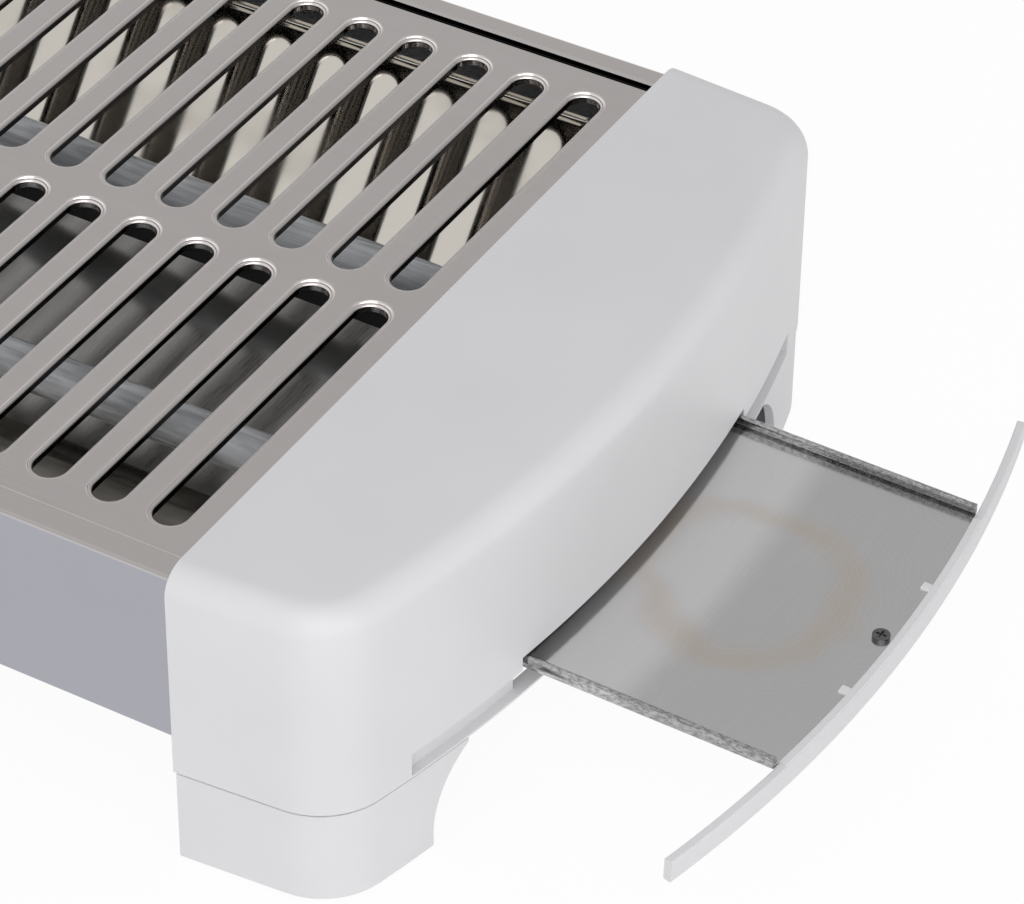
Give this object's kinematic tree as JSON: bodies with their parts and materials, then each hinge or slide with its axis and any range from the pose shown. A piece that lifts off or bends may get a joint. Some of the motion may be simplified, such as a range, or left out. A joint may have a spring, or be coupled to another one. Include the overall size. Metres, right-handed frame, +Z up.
{
  "type": "flat toaster",
  "caption": "Low flat toaster: slotted steel grille over two quartz tubes, moulded end caps on arched feet, and a crumb tray that slides out of one end.",
  "frame": {"origin": "middle of the bounding box in plan, on the table under the foot pads, with the crumb tray pulled out as stored", "axes": "+X towards the end that the crumb tray slides out of, +Y towards the side away from the viewer, +Z up"},
  "size_m": [0.4622, 0.226, 0.0827],
  "materials": {
    "casing_steel": "satin stainless sheet",
    "grille_steel": "satin stainless sheet, rolled slot edges",
    "blackened_steel": "matt, heat-resistant black",
    "tray_steel": "bare satin sheet, heat-stained",
    "plated_steel": "galvanised sheet",
    "reflector_aluminium": "polished sheet",
    "cap_plastic": "fine satin moulding, white",
    "foot_rubber": "matt",
    "quartz_glass": "milky satin quartz",
    "heating_wire": "oxidised resistance alloy",
    "ceramic": "unglazed steatite",
    "brass_parts": "bright",
    "switch_black": "semi-gloss",
    "rocker_red": "translucent red",
    "lamp_glass": "clear",
    "block_plastic": "moulded",
    "fuse_metal": "plain",
    "lead_sleeve": "silicone sleeve",
    "earth_sleeve": "silicone sleeve",
    "screw_steel": "zinc plated"
  },
  "bodies": {
    "housing": {"casing_side_near": "casing_steel", "casing_side_far": "casing_steel", "grille_panel": "grille_steel", "grille_stiffener": "blackened_steel", "base_plate": "plated_steel", "tray_rail_near": "plated_steel", "tray_rail_far": "plated_steel", "element_bracket_tray_end": "plated_steel", "element_bracket_control_end": "plated_steel", "side_reflector_near": "reflector_aluminium", "side_reflector_far": "reflector_aluminium", "tray_end_cap": "cap_plastic", "control_end_cap": "cap_plastic", "tray_end_foot_near": "cap_plastic", "tray_end_foot_far": "cap_plastic", "control_end_foot_near": "cap_plastic", "control_end_foot_far": "cap_plastic", "foot_pads": "foot_rubber", "quartz_tube_near": "quartz_glass", "quartz_tube_far": "quartz_glass", "heating_coil_near": "heating_wire", "heating_coil_far": "heating_wire", "tube_insulators": "ceramic", "tube_terminals": "brass_parts", "switch_terminals": "brass_parts", "rocker_switch_body": "switch_black", "cable_inlet_bush": "switch_black", "pilot_lamp": "lamp_glass", "terminal_block": "block_plastic", "thermal_fuse": "fuse_metal", "lead_switch_to_near_tube": "lead_sleeve", "lead_block_to_switch": "lead_sleeve", "lead_block_to_far_tube": "lead_sleeve", "lead_between_tubes": "lead_sleeve", "earth_lead": "earth_sleeve", "base_screws": "screw_steel", "cap_screws": "screw_steel", "foot_screws": "screw_steel"},
    "tray": {"crumb_tray": "tray_steel", "tray_front_bar": "cap_plastic", "tray_front_screw": "screw_steel"},
    "rocker": {"switch_rocker": "rocker_red"}
  },
  "joints": [
    {"name": "tray_slide", "type": "slide", "parent": "housing", "child": "tray", "axis": [0.9998, 0, -0.0175], "range_m": [-0.0639, 0.15]},
    {"name": "rocker_tilt", "type": "hinge", "parent": "housing", "child": "rocker", "pos_m": [-0.22386, 0, 0.059], "axis": [0, 0, 1], "range_deg": [0, 14]}
  ]
}
